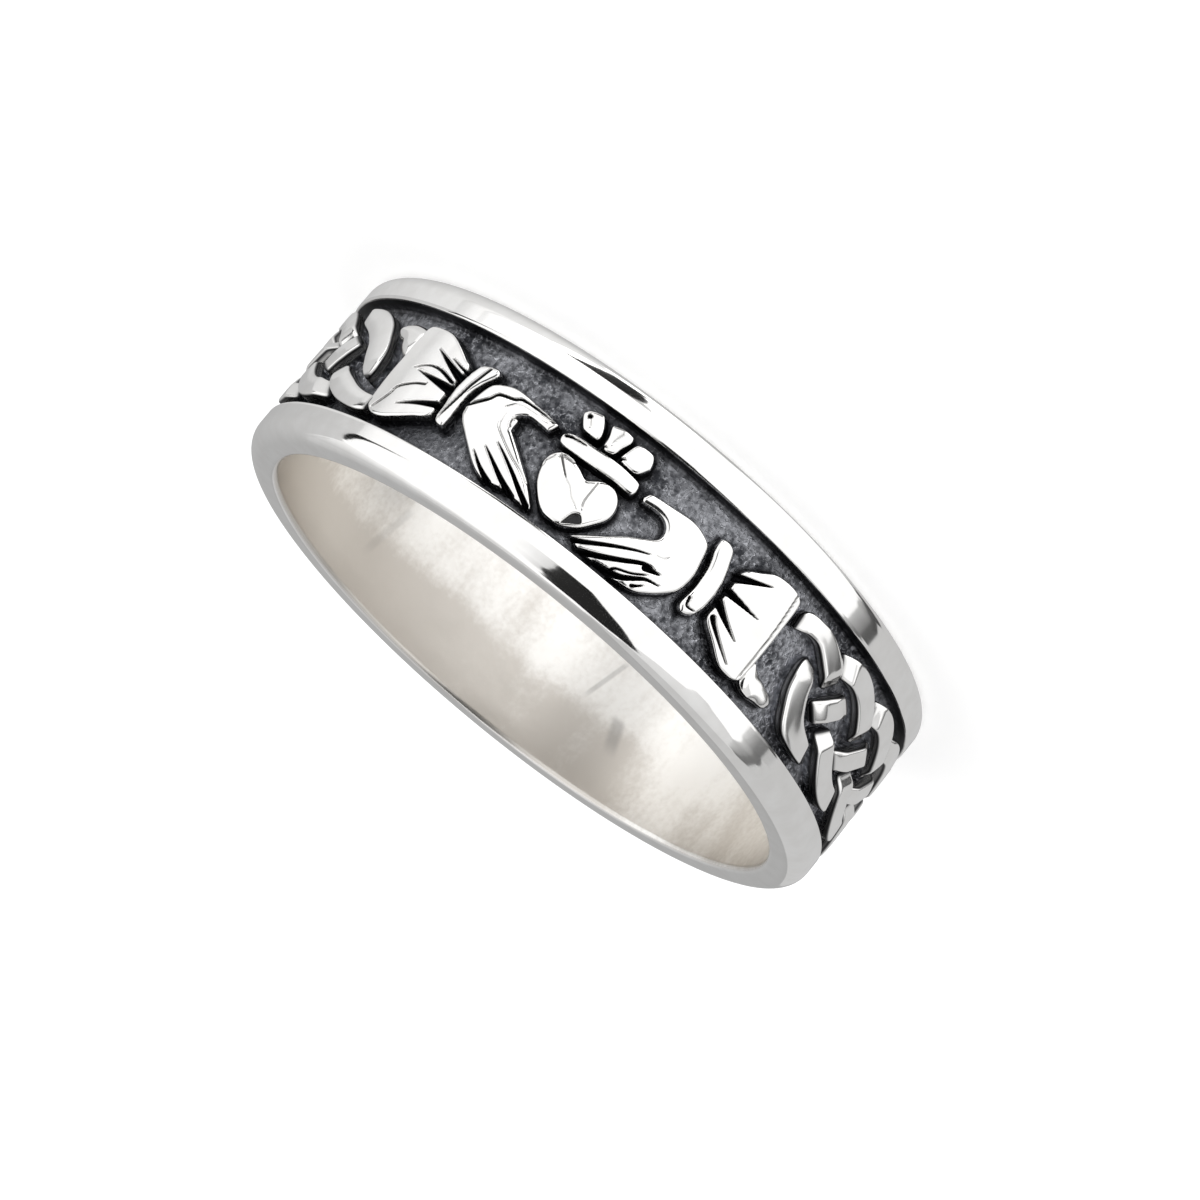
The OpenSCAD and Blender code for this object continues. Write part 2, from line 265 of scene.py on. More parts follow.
def keep(bm, name):
    """A finished silver piece that stands for the cast ring's solid"""
    bmesh.ops.recalc_face_normals(bm, faces=bm.faces)
    mesh = bpy.data.meshes.new(name)
    bm.to_mesh(mesh)
    bm.free()
    mesh.shade_smooth()
    mesh.materials.append(silver)
    piece = bpy.data.objects.new(name, mesh)
    bpy.context.scene.collection.objects.link(piece)
    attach(piece, "root")
    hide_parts("ring")


# The band is the body of the casting: two polished rails with soft rims, a sunk
# channel between them, and a plain bore. Its section is turned round the finger.
BAND_STEPS = 540
# Corners of the section: radius, place along the finger, round
band_corners = [
    (BORE_R, 0, 0.2),
    (BAND_R, 0, 0.5),
    (BAND_R, CHANNEL[0], 0.05),
    (FLOOR_R, CHANNEL[0] + 0.04, 0.1),
    (FLOOR_R, CHANNEL[1] - 0.04, 0.1),
    (BAND_R, CHANNEL[1], 0.05),
    (BAND_R, BAND_W, 0.62),
    (BORE_R, BAND_W, 0.2),
]
bm = bmesh.new()
corners = [bm.verts.new((r * MM, 0, z * MM)) for r, z, _ in band_corners]
bm.faces.new(corners)
for corner, (_, _, rounding) in zip(corners, band_corners):
    bmesh.ops.bevel(
        bm,
        geom=[corner],
        offset=rounding * MM,
        segments=4 if rounding < 0.15 else 12,
        profile=0.5,
        affect="VERTICES",
        material=-1,
    )
bmesh.ops.delete(bm, geom=bm.faces[:], context="FACES_ONLY")
flats = [e for e in bm.edges if e.calc_length() > 0.15 * MM]
bmesh.ops.subdivide_edges(bm, edges=flats, cuts=8)
bmesh.ops.spin(
    bm,
    geom=bm.verts[:] + bm.edges[:],
    axis=(0, 0, 1),
    cent=(0, 0, 0),
    angle=2 * math.pi,
    steps=BAND_STEPS,
    use_merge=True,
)
keep(bm, "band")


# The heart is a plump cast cushion with a notch between its lobes. Its chart, of
# small square cells, is cut, domed and chased here as each piece of the relief is.
CELL = 0.02
# how far a piece is sunk into the band, and how thin the skirt lies that carries its painted shadow
ROOT = 0.35
SKIRT_H = 0.012
WALL_SLOPE = 10
# a cut this deep is quite black with patina and painted shade, and a wall starts to darken with patina and
# painted shade this high up
INK_DEPTH = 0.14
INK_WALL = 0.16


def curve_through(points, closed=False, per=8):
    """A smooth line through the points, as an array"""
    p = np.array(points, float)
    n = len(p)
    if closed:
        p = np.vstack((p[-1], p, p[0], p[1]))
        spans = n
    else:
        p = np.vstack((2 * p[0] - p[1], p, 2 * p[-1] - p[-2]))
        spans = n - 1
    u = np.linspace(0, 1, per, endpoint=False)[:, None]
    made = []
    for a, b, c, d in (p[i : i + 4] for i in range(spans)):
        made.append(
            b
            + 0.5 * u * (c - a)
            + u * u * (a - 2.5 * b + 2 * c - 0.5 * d)
            + u**3 * (1.5 * (b - c) + 0.5 * (d - a))
        )
    if not closed:
        made.append(p[-2:-1])
    return np.vstack(made)


def reach(line, s, t):
    """Distance of each place from a line, and the share of the line it lies at"""
    best = np.full(s.shape, 1e9)
    share = np.zeros(s.shape)
    spans = len(line) - 1
    for k in range(spans):
        a, run = line[k], line[k + 1] - line[k]
        u = ((s - a[0]) * run[0] + (t - a[1]) * run[1]) / max(run @ run, 1e-12)
        u = np.clip(u, 0, 1)
        away = np.hypot(s - a[0] - u * run[0], t - a[1] - u * run[1])
        share = np.where(away < best, (k + u) / spans, share)
        best = np.minimum(away, best)
    return best, share


def depth_inside(outline, s, t):
    """Distance inside a closed outline, and less than 0 outside it"""
    line = np.vstack((outline, outline[:1]))
    away, _ = reach(line, s, t)
    inside = np.zeros(s.shape, bool)
    for a, b in zip(line[:-1], line[1:]):
        crosses = (a[1] > t) != (b[1] > t)
        rise = b[1] - a[1] if abs(b[1] - a[1]) > 1e-12 else 1e-12
        inside ^= crosses & (s < a[0] + (t - a[1]) / rise * (b[0] - a[0]))
    return np.where(inside, away, -away)


def step_up(x):
    x = np.clip(x, 0, 1)
    return x * x * (3 - 2 * x)


def lay_on_band(bm):
    """Wraps the flat chart round the band"""
    for v in bm.verts:
        turn, r = v.co.x / BAND_R, FLOOR_R + v.co.z
        v.co = (
            -r * math.sin(turn) * MM,
            -r * math.cos(turn) * MM,
            (BAND_W / 2 - v.co.y) * MM,
        )


def close_below(bm, rim, levels):
    """Walls from the rim of a raised sheet, down from level to level into the band,
    and a floor. The rim's darkening, patina and painted shade, fades out at the first level."""
    darkened = bm.verts.layers.float["darkened"]
    for level in levels:
        made = bmesh.ops.extrude_edge_only(bm, edges=rim)["geom"]
        for v in (g for g in made if isinstance(g, bmesh.types.BMVert)):
            v.co.z = level
            v[darkened] = 0
        rim = [g for g in made if isinstance(g, bmesh.types.BMEdge) and g.is_boundary]
    bmesh.ops.holes_fill(bm, edges=rim)


def soften(field, cells):
    """The field with its ridges rounded off, over about that many cells"""
    taps = np.exp(-np.linspace(-2, 2, 2 * cells + 1) ** 2)
    for _ in range(2):
        padded = np.pad(field, ((cells, cells), (0, 0)), mode="edge")
        field = sum(w * padded[k : k + len(field)] for k, w in enumerate(taps / taps.sum())).T
    return field


def chase(name, outlines, rim, soft, dome=(0, 1), grooves=(), pits=(), shade=(0.2, 0.75)):
    """One raised piece, from its outlines on the chart. rim is its height at the
    edge, soft is how far in the edge is rounded, and dome is (how much higher its
    middle stands, how far in). A groove is (points, half width at its start, half
    width at its end, depth), and a pit is (outline, depth). shade is (how far, how
    strongly) painted shadow spreads over the channel's floor round the piece. The
    piece is darkened with patina and painted shade in its cuts, on its falling edges
    and on its walls."""
    shapes = [curve_through(o, closed=True) for o in outlines]
    everything = np.vstack(shapes)
    skirt, strength = shade
    margin = skirt + 2 * CELL
    low, high = everything.min(0) - margin, everything.max(0) + margin
    cells = np.ceil((high - low) / CELL).astype(int)
    bm = bmesh.new()
    bmesh.ops.create_grid(
        bm, x_segments=int(cells[0]), y_segments=int(cells[1]), size=0.5
    )
    t, s = np.meshgrid(
        np.linspace(low[1], high[1], cells[1] + 1),
        np.linspace(low[0], high[0], cells[0] + 1),
        indexing="ij",
    )
    inside = np.max([depth_inside(shape, s, t) for shape in shapes], axis=0)
    h = rim + dome[0] * soften(step_up(inside / dome[1]), round(0.25 * dome[1] / CELL))
    cut = np.zeros(s.shape)
    for points, wide, narrow, depth in grooves:
        away, share = reach(curve_through(points), s, t)
        width = wide + (narrow - wide) * share
        depth = depth * np.minimum(1, 4 * (1 - share) + 0.2)
        cut = np.maximum(cut, depth * (1 - step_up((away / width - 0.4) / 0.75)))
    for outline, depth in pits:
        away = depth_inside(curve_through(outline, closed=True), s, t)
        cut = np.maximum(cut, depth * step_up(away / 0.06))
    h = h - cut
    edge = np.clip(1 - inside / soft, 0, 1)
    h = h - soft * (1 - np.sqrt(np.clip(1 - edge * edge, 0, 1)))
    h = np.where(inside < 0, h + inside * WALL_SLOPE, h)
    h = np.maximum(h, SKIRT_H)
    # patina and painted shade in the cuts and on the falling edge
    patina_and_shade = np.clip(np.maximum(cut / INK_DEPTH, (rim - soft - h) / 0.05), 0, 1)
    # painted shadow on the channel's floor round the piece
    skirt_shadow = strength * (1 - step_up((-inside - 0.05) / (skirt - 0.06)))
    wall = step_up((h - INK_WALL) / 0.14)
    patina_and_shade = np.where(inside < 0, np.maximum(skirt_shadow, wall), patina_and_shade)
    darkened = bm.verts.layers.float.new("darkened")
    outside = bm.verts.layers.int.new("outside")
    for v in bm.verts:
        i, j = round((v.co.y + 0.5) * cells[1]), round((v.co.x + 0.5) * cells[0])
        v.co = (s[i, j], t[i, j], h[i, j])
        v[darkened] = patina_and_shade[i, j]
        v[outside] = inside[i, j] < -skirt
    bmesh.ops.delete(bm, geom=[v for v in bm.verts if v[outside]], context="VERTS")
    close_below(bm, [e for e in bm.edges if e.is_boundary], [-ROOT])
    lay_on_band(bm)
    keep(bm, name)


chase(
    "heart",
    [
        [
            (0.07, -0.05), (0.22, 0.02), (0.5, 0.2), (0.85, 0.25), (1.1, 0.15),
            (1.29, -0.1), (1.36, -0.4), (1.3, -0.68), (1.08, -1.01), (0.78, -1.37),
            (0.32, -1.63), (-0.05, -1.66), (-0.38, -1.59), (-0.77, -1.28), (-1.11, -0.85),
            (-1.28, -0.3), (-1.2, 0.02), (-0.95, 0.22), (-0.62, 0.22), (-0.25, 0.1),
        ]
    ],
    rim=0.5,
    dome=(0.015, 0.75),
    grooves=[
        # the creases that part the lobes, and a worn line inside the left one
        ([(-0.94, 0.09), (-0.71, -0.12), (-0.38, -0.41)], 0.04, 0.025, 0.11),
        ([(-0.38, -0.41), (-0.17, -0.52), (0.05, -0.74), (0.27, -0.86), (0.4, -0.94)], 0.035, 0.03, 0.04),
        ([(0.42, 0.06), (0.43, -0.22), (0.44, -0.6), (0.53, -0.85)], 0.03, 0.045, 0.07),
        ([(-0.95, 0.09), (-0.77, 0.14), (-0.48, 0.14)], 0.07, 0.03, 0.07),
        ([(-1.2, -0.45), (-1.2, -0.28), (-1.06, 0.04)], 0.025, 0.02, 0.05),
    ],
    pits=[
        (
            [
                (0.29, -1.57), (0.34, -1.27), (0.42, -1.08), (0.59, -0.99), (0.72, -1.06),
                (0.8, -1.23), (0.51, -1.44),
            ],
            0.135,
        )
    ],
    soft=0.11,
    shade=(0.3, 0.95),
)


# The crown sits over the heart: a plain bar, and three prongs that spread from
# it. All are bevelled bars of the same casting, and stand clear of one another.
chase(
    "crown",
    [
        [
            (-1.28, 0.45), (-1.29, 0.66), (-1.06, 0.8), (-0.79, 0.84), (-0.22, 0.86),
            (0.55, 0.89), (1.27, 0.82), (1.42, 0.71), (1.44, 0.47), (1.3, 0.37),
            (0.73, 0.39), (0, 0.36), (-0.7, 0.35), (-1.12, 0.36),
        ],
        [
            (-1.22, 1.47), (-1.2, 1.58), (-1.07, 1.7), (-0.74, 1.78), (-0.64, 1.74),
            (-0.48, 1.52), (-0.38, 1.28), (-0.38, 1.12), (-0.46, 1.07), (-0.86, 1.09),
            (-0.98, 1.14), (-1.1, 1.28),
        ],
        [
            (-0.3, 1.66), (-0.24, 1.73), (0.05, 1.81), (0.34, 1.79), (0.42, 1.74),
            (0.44, 1.58), (0.32, 1.27), (0.27, 1.06), (0.16, 0.99), (0, 0.96),
            (-0.11, 1.0), (-0.16, 1.1), (-0.19, 1.36),
        ],
        [
            (0.6, 1.62), (0.67, 1.7), (0.84, 1.74), (1.08, 1.74), (1.2, 1.7), (1.3, 1.56),
            (1.36, 1.35), (1.33, 1.26), (1.2, 1.04), (1.1, 0.97), (0.95, 0.95), (0.6, 0.98),
            (0.5, 1.02), (0.47, 1.14), (0.53, 1.4),
        ],
    ],
    rim=0.55,
    grooves=[
        # along the bar's end, on the first two prongs and at the foot of the others
        ([(-1.2, 0.65), (-1.04, 0.7), (-0.81, 0.73), (-0.54, 0.75)], 0.06, 0.02, 0.4),
        ([(-1.02, 1.53), (-0.96, 1.56)], 0.08, 0.05, 0.2),
        ([(-0.97, 1.5), (-0.81, 1.27)], 0.035, 0.02, 0.045),
        ([(0.1, 1.68), (0.02, 1.4), (0.02, 1.2)], 0.03, 0.02, 0.045),
        ([(-0.2, 1.0), (-0.04, 1.08)], 0.05, 0.02, 0.3),
        ([(0.44, 1.0), (0.62, 1.12)], 0.07, 0.02, 0.3),
    ],
    soft=0.06,
    shade=(0.38, 1.0),
)


# Each hand holds the heart from its side: the back of the hand and four fingers
# reach under it, parted by cut grooves, and the thumb lies along the bar's level.
# The two hands were carved one by one and aren't copies of each other.
chase(
    "right_hand",
    [
        [
            (0.8, -1.62), (1.2, -1.3), (1.6, -1.0), (2.0, -0.66), (2.4, -0.4),
            (2.75, -0.17), (2.85, 0.02), (2.8, 0.25), (2.6, 0.43), (2.25, 0.5),
            (1.85, 0.45), (1.73, 0.5), (1.72, 0.62), (1.83, 0.8), (2.1, 0.86),
            (2.6, 0.92), (3.3, 1.0), (3.8, 0.9), (4.1, 0.7), (4.25, 0.2),
            (4.33, -0.25), (4.29, -0.68), (4.16, -1.0), (3.87, -1.32), (3.53, -1.59),
            (3.24, -1.76), (2.82, -1.85), (2.29, -1.87), (1.79, -1.88), (1.44, -1.87),
            (1.09, -1.83), (0.88, -1.72),
        ]
    ],
    rim=0.52,
    dome=(0.015, 0.5),
    grooves=[
        # between the fingers
        ([(0.84, -1.75), (1.17, -1.6), (1.84, -1.18), (2.47, -0.82), (2.9, -0.62)], 0.09, 0.02, 0.46),
        ([(1.25, -1.89), (1.82, -1.62), (2.37, -1.3), (2.99, -0.93), (3.4, -0.93)], 0.1, 0.04, 0.46),
        ([(1.82, -1.91), (2.57, -1.74), (2.93, -1.52), (3.27, -1.27), (3.68, -1.16)], 0.11, 0.03, 0.46),
        # along a finger, at the knuckles, beside the last finger and on the palm
        ([(2.3, -1.7), (2.43, -1.58), (2.85, -1.4), (3.21, -1.15)], 0.04, 0.03, 0.3),
        ([(3.05, -1.02), (3.3, -0.95), (3.5, -0.9)], 0.1, 0.03, 0.4),
        ([(3.06, -1.69), (3.2, -1.58), (3.32, -1.46)], 0.05, 0.02, 0.34),
        ([(3.1, -0.52), (3.3, -0.45), (3.4, -0.3)], 0.03, 0.02, 0.03),
    ],
    soft=0.12,
)
chase(
    "left_hand",
    [
        [
            (-0.7, -1.69), (-1.26, -1.14), (-1.89, -0.66), (-2.53, -0.21), (-2.66, -0.1),
            (-2.68, 0.2), (-2.8, 0.28), (-2.6, 0.47), (-2.4, 0.52), (-1.95, 0.48),
            (-1.74, 0.47), (-1.6, 0.75), (-1.75, 0.82), (-2.4, 0.92), (-3.0, 1.02),
            (-3.5, 1.03), (-4.0, 0.85), (-4.22, 0.6), (-4.37, 0.0), (-4.37, -0.3),
            (-4.2, -0.65), (-3.41, -1.29), (-2.97, -1.61), (-2.62, -1.78), (-2.23, -1.83),
            (-1.72, -1.75), (-1.39, -1.78), (-1.07, -1.81), (-0.78, -1.81),
        ]
    ],
    rim=0.52,
    dome=(0.015, 0.5),
    grooves=[
        # between the fingers
        ([(-0.8, -1.77), (-1.27, -1.5), (-1.75, -1.2), (-2.24, -0.92), (-2.72, -0.66)], 0.09, 0.02, 0.46),
        ([(-1.34, -1.81), (-1.95, -1.52), (-2.45, -1.24), (-2.96, -0.95)], 0.105, 0.02, 0.46),
        ([(-2.18, -1.85), (-2.45, -1.71), (-2.79, -1.52), (-3.18, -1.24)], 0.105, 0.02, 0.46),
        # beside the thumb, along the first finger, along the thumb and in its web
        (
            [(-4.35, -0.15), (-3.9, 0.3), (-3.7, 0.58), (-3.2, 0.7), (-2.9, 0.83), (-1.9, 0.8)],
            0.06, 0.045, 0.32,
        ),
        (
            [(-1.24, -1.22), (-1.63, -0.99), (-2.09, -0.79), (-2.64, -0.49), (-3.06, -0.19), (-3.12, 0.22)],
            0.03, 0.02, 0.045,
        ),
        ([(-3.25, 0.4), (-2.9, 0.66), (-1.9, 0.66)], 0.0372, 0.0248, 0.03),
        ([(-2.76, -0.08), (-2.85, 0.1), (-2.81, 0.26), (-2.69, 0.4)], 0.02, 0.03, 0.4),
    ],
    soft=0.12,
)


# A bangle bounds each wrist: a short bowed bar across the channel, with its
# ends turned towards the crown's side. The left one is split along its length.
chase(
    "left_wrist_band",
    [
        [
            (-4.95, 1.0), (-5.08, 0.5), (-5.12, 0), (-5.06, -0.5), (-5.0, -0.98),
            (-4.85, -1.12), (-4.62, -1.1), (-4.6, -0.8), (-4.62, -0.3), (-4.6, 0.2),
            (-4.45, 0.6), (-4.3, 0.85), (-4.17, 1.1), (-4.3, 1.25), (-4.6, 1.22),
            (-4.82, 1.15),
        ]
    ],
    rim=0.52,
    dome=(0.02, 0.2),
    grooves=[([(-4.52, 1.1), (-4.66, 0.6), (-4.74, 0.3), (-4.82, -0.3), (-4.92, -0.9)], 0.06, 0.06, 0.3)],
    soft=0.12,
)
chase(
    "right_wrist_band",
    [
        [
            (4.3, 1.2), (4.27, 1.0), (4.32, 0.75), (4.42, 0.5), (4.52, 0.1),
            (4.55, -0.5), (4.5, -0.95), (4.52, -1.15), (4.7, -1.28), (5.0, -1.15),
            (5.15, -0.8), (5.2, -0.4), (5.18, 0), (5.1, 0.4), (4.95, 0.8),
            (4.8, 1.13), (4.55, 1.25),
        ]
    ],
    rim=0.52,
    dome=(0.02, 0.22),
    grooves=[([(4.62, -0.78), (4.7, -1.02), (4.98, -1.0)], 0.05, 0.03, 0.28)],
    soft=0.12,
)


# The sleeves' cuffs flare from the wrists to their hems. They are flat cast
# fans whose gathers are cut in from the wrist as tapering grooves.
chase(
    "left_cuff",
    [
        [
            (-7.68, 0.5), (-7.66, 1.2), (-7.6, 1.48), (-7.35, 1.6), (-6.6, 1.58),
            (-6.0, 1.33), (-5.5, 1.05), (-5.22, 0.88), (-5.27, 0.4), (-5.3, 0),
            (-5.27, -0.5), (-5.22, -1.02), (-5.7, -1.27), (-6.2, -1.5), (-6.8, -1.72),
            (-7.25, -1.72), (-7.58, -1.5), (-7.64, -1.2), (-7.7, -0.4),
        ]
    ],
    rim=0.54,
    grooves=[
        ([(-5.2, 0.42), (-5.9, 0.68), (-6.6, 0.97)], 0.13, 0.017, 0.42),
        ([(-5.15, 0.68), (-5.5, 0.76), (-5.9, 0.88)], 0.051, 0.017, 0.3),
        ([(-5.35, 0.2), (-6.0, 0.38), (-6.5, 0.36), (-6.95, 0.12)], 0.055, 0.03, 0.3),
        ([(-5.2, -0.04), (-6.0, 0.03), (-6.75, 0.1)], 0.155, 0.02, 0.42),
        ([(-6.1, -0.22), (-6.5, -0.35), (-6.95, -0.65), (-7.05, -1.0), (-7.3, -1.55)], 0.045, 0.055, 0.3),
        ([(-5.2, -0.62), (-5.9, -0.85), (-6.55, -1.14)], 0.125, 0.03, 0.42),
    ],
    soft=0.08,
)
chase(
    "right_cuff",
    [
        [
            (5.42, 0.92), (5.9, 1.28), (6.3, 1.54), (6.9, 1.63), (7.35, 1.55),
            (7.5, 1.3), (7.54, 0.5), (7.55, -0.5), (7.52, -1.3), (7.4, -1.57),
            (7.1, -1.67), (6.6, -1.62), (6.0, -1.27), (5.45, -0.92), (5.4, -0.5),
            (5.42, 0), (5.4, 0.5),
        ]
    ],
    rim=0.54,
    grooves=[
        ([(5.3, 0.58), (5.8, 0.85), (6.4, 1.17)], 0.15, 0.02, 0.42),
        ([(5.35, 0.13), (6.0, 0.15), (6.68, 0.17)], 0.14, 0.02, 0.42),
        ([(5.35, -0.28), (5.9, -0.55), (6.55, -0.8)], 0.15, 0.02, 0.42),
        ([(5.55, -0.75), (5.75, -0.9), (6.2, -1.15), (6.8, -1.45)], 0.0935, 0.0255, 0.4),
        ([(7.22, 1.6), (7.34, 0.5), (7.38, -0.5), (7.38, -1.5)], 0.0298, 0.0298, 0.22),
        ([(5.4, 1.05), (5.5, 1.0)], 0.068, 0.0425, 0.3),
    ],
    soft=0.08,
)


# The plait runs from cuff to cuff round the rest of the band: four flat strands
# with rounded edges, each going over one strand and under the next. A strand
# dips where it goes under, and a gap parts it from the one above; its edges and
# its tips there are darkened with painted shade.
PLAIT_H = 0.58
PITCH = 2.667
SWING = 1.43
STRAND_W = 0.74
STRAND_GAP = 0.17
PLAIT_START = 11.1
# a strand's rounded edge: its share of the half width, and its drop
EDGE_SHARE = 0.28
EDGE_DROP = 0.1
# how far from its end a strand starts to dip
DIP_RUN = 0.6
STRAND_CUTS = 48
ROUND = 2 * math.pi * BAND_R
periods = round((ROUND - 2 * PLAIT_START) / PITCH)
pitch = (ROUND - 2 * PLAIT_START) / periods


def strand_edge(start, end, side):
    """One edge of the stretch that shows between two crossings that go over it"""
    line = []
    for way, d in ((1, start), (-1, end)):
        lean = math.atan(-SWING * math.pi / 2 / pitch * math.cos(math.pi / 2 * d / pitch))
        clear = (STRAND_W / 2 + STRAND_GAP) / math.sin(abs(2 * lean))
        skew = side * STRAND_W / 2 / math.tan(2 * lean)
        line.append(d + (way * clear - skew) * math.cos(lean))
    d = np.linspace(*line, 25)
    slope = -SWING * math.pi / 2 / pitch * np.cos(math.pi / 2 * d / pitch)
    lean = np.arctan(slope)
    return np.stack(
        (
            d - side * STRAND_W / 2 * np.sin(lean),
            -SWING * np.sin(math.pi / 2 * d / pitch) + side * STRAND_W / 2 * np.cos(lean),
        ),
        axis=1,
    )


def even(line, count):
    """The same line in count even steps"""
    run = np.concatenate(([0], np.cumsum(np.hypot(*np.diff(line, axis=0).T))))
    at = np.linspace(0, run[-1], count + 1)
    return np.stack([np.interp(at, run, line[:, k]) for k in range(2)], axis=1)


def lay_strand(bm, right, left, dips=(0.26, 0.26)):
    """One stretch of a strand between its two edges. dips says how deep each of
    its ends goes down."""
    right, left = even(right, STRAND_CUTS), even(left, STRAND_CUTS)
    middle = (right + left) / 2
    run = np.concatenate(([0], np.cumsum(np.hypot(*np.diff(middle, axis=0).T))))
    darkened = bm.verts.layers.float["darkened"]
    grid = bmesh.ops.create_grid(bm, x_segments=STRAND_CUTS, y_segments=14, size=0.5)
    verts = grid["verts"]
    for v in verts:
        i = round((v.co.x + 0.5) * STRAND_CUTS)
        v_across = math.sin(v.co.y * math.pi)
        from_start, from_end = run[i], run[-1] - run[i]
        tip = min(from_start, from_end)
        bulge = math.sqrt(1 - max(0, 1 - (tip + 0.06) / 0.2) ** 2)
        place = middle[i] + (left[i] - right[i]) / 2 * v_across * bulge
        side_round = max(0, abs(v_across) - 1 + EDGE_SHARE) / EDGE_SHARE
        tip_round = max(0, 1 - tip / 0.1)
        fall = 1 - math.sqrt(max(0, 1 - min(1, math.hypot(side_round, tip_round)) ** 2))
        h = PLAIT_H - EDGE_DROP * fall - 0.01 * v_across**2
        h -= dips[0] * (1 - step_up(from_start / DIP_RUN))
        h -= dips[1] * (1 - step_up(from_end / DIP_RUN))
        v.co = (*place, h)
        # painted shade on the strand's rounded edges and at its tips
        v[darkened] = max(step_up((fall - 0.35) / 0.3), 1 - step_up((tip - 0.05) / 0.12))
    mine = set(verts)
    rim = [e for e in bm.edges if e.is_boundary and e.verts[0] in mine]
    close_below(bm, rim, [0.25, -ROOT])


bm = bmesh.new()
bm.verts.layers.float.new("darkened")
for k in range(periods):
    # down from this crossing, up to the next one, and between two crossings
    stretches = [(0, 1.5, k), (-1.5, 0, k + 1)]
    if k:
        stretches.append((1.5, 2.5, k - 2))
    for start, end, crossing in stretches:
        from_here = PLAIT_START + crossing * pitch
        edges = [strand_edge(start * pitch, end * pitch, side) for side in (-1, 1)]
        lay_strand(bm, *(edge + (from_here, 0) for edge in edges))

# The strands that end or turn back beside the cuffs, those at the right cuff first:
# (right edge, left edge, dips)
cuff_ends = [
    (
        [(7.8, 0.8), (8.1, 0.9), (8.4, 1.02), (8.8, 1.05), (9.1, 0.95), (9.7, 0.63), (10.3, 0.3)],
        [(7.75, 1.35), (8.0, 1.55), (8.5, 1.62), (9.1, 1.62), (9.9, 1.37), (10.4, 1.1), (10.75, 0.87)],
        (0.1, 0.26),
    ),
    (
        [(8.93, 0.62), (8.85, 0.3), (8.85, 0), (8.95, -0.4), (9.1, -0.7), (9.35, -1.05),
         (9.6, -1.35), (9.9, -1.55), (10.3, -1.64), (11.0, -1.7), (11.55, -1.66), (11.9, -1.5)],
        [(9.42, 0.52), (9.57, 0.3), (9.7, 0.05), (9.85, -0.25), (10.05, -0.5), (10.25, -0.7),
         (10.5, -0.85), (10.9, -1.0), (11.2, -1.08), (11.5, -1.17)],
        (0.14, 0.26),
    ),
    (
        [(10.8, -0.62), (11.3, -0.12), (11.93, 0.5)],
        [(10.12, -0.22), (10.6, 0.27), (11.24, 0.84)],
        (0.14, 0.14),
    ),
    (
        [(-7.45, -1.2), (-8.0, -1.18), (-8.49, -1.09), (-9.01, -0.9), (-9.51, -0.7), (-9.98, -0.44)],
        [(-7.45, -1.72), (-8.05, -1.84), (-9.04, -1.73), (-9.8, -1.45), (-10.3, -1.15), (-10.55, -0.88)],
        (0.03, 0.06),
    ),
    (
        [(-8.5, -0.74), (-8.44, -0.31), (-8.55, 0.26), (-8.93, 0.82), (-9.41, 1.31),
         (-10.19, 1.63), (-11.21, 1.69), (-11.9, 1.52)],
        [(-8.62, -0.76), (-8.95, -0.57), (-9.36, -0.15), (-9.75, 0.32), (-10.22, 0.68),
         (-10.77, 0.92), (-11.5, 1.17)],
        (0.05, 0.2),
    ),
    (
        [(-10.92, 0.68), (-11.48, 0.14), (-11.87, -0.5)],
        [(-10.2, 0.36), (-10.62, -0.26), (-11.1, -0.84)],
        (0.04, 0.04),
    ),
]
for right, left, dips in cuff_ends:
    lay_strand(bm, curve_through(right), curve_through(left), dips)
lay_on_band(bm)
keep(bm, "plait")


# Beside each cuff's hem the stub of one more strand shows, which goes under the
# cuff. The stubs are lower than the rest, of the same casting, and rounded off.
chase(
    "right_stub",
    [
        [
            (7.6, -0.72), (7.99, -0.9), (8.35, -0.97), (8.76, -1.08), (8.96, -1.28),
            (8.82, -1.54), (8.43, -1.61), (8.09, -1.68), (7.74, -1.62), (7.5, -1.4),
            (7.5, -1.0),
        ]
    ],
    rim=0.46,
    dome=(0.07, 0.3),
    soft=0.16,
)
chase(
    "left_stub",
    [
        [
            (-7.6, 1.4), (-8.1, 1.5), (-8.5, 1.48), (-8.86, 1.32), (-8.95, 1.08),
            (-8.75, 0.9), (-8.45, 0.78), (-8.25, 0.55), (-7.95, 0.38), (-7.65, 0.4),
            (-7.5, 0.8), (-7.5, 1.2),
        ]
    ],
    rim=0.46,
    dome=(0.07, 0.3),
    soft=0.16,
)


# The ring lies on a plain pale sheet under even studio light. Black, grey and bright
# cards hang round it as the gaps and walls of the studio, and show only in the
# metal, where they draw its dark and its dull reflections.
def paper(name, colour):
    material = bpy.data.materials.new(name)
    material.use_nodes = True
    shader = material.node_tree.nodes["Principled BSDF"]
    shader.inputs["Base Color"].default_value = (*colour, 1)
    shader.inputs["Roughness"].default_value = 0.9
    return material


bm = bmesh.new()
bmesh.ops.create_grid(bm, x_segments=1, y_segments=1, size=1.5)
sheet = bpy.data.meshes.new("floor")
bm.to_mesh(sheet)
bm.free()
pale_paper = paper("pale_paper", (0.93, 0.93, 0.93))
glow = pale_paper.node_tree.nodes["Principled BSDF"].inputs
glow["Emission Color"].default_value = (1, 1, 1, 1)
glow["Emission Strength"].default_value = 0.17
sheet.materials.append(pale_paper)
floor = bpy.data.objects.new("floor", sheet)
floor.visible_glossy = False
bpy.context.scene.collection.objects.link(floor)

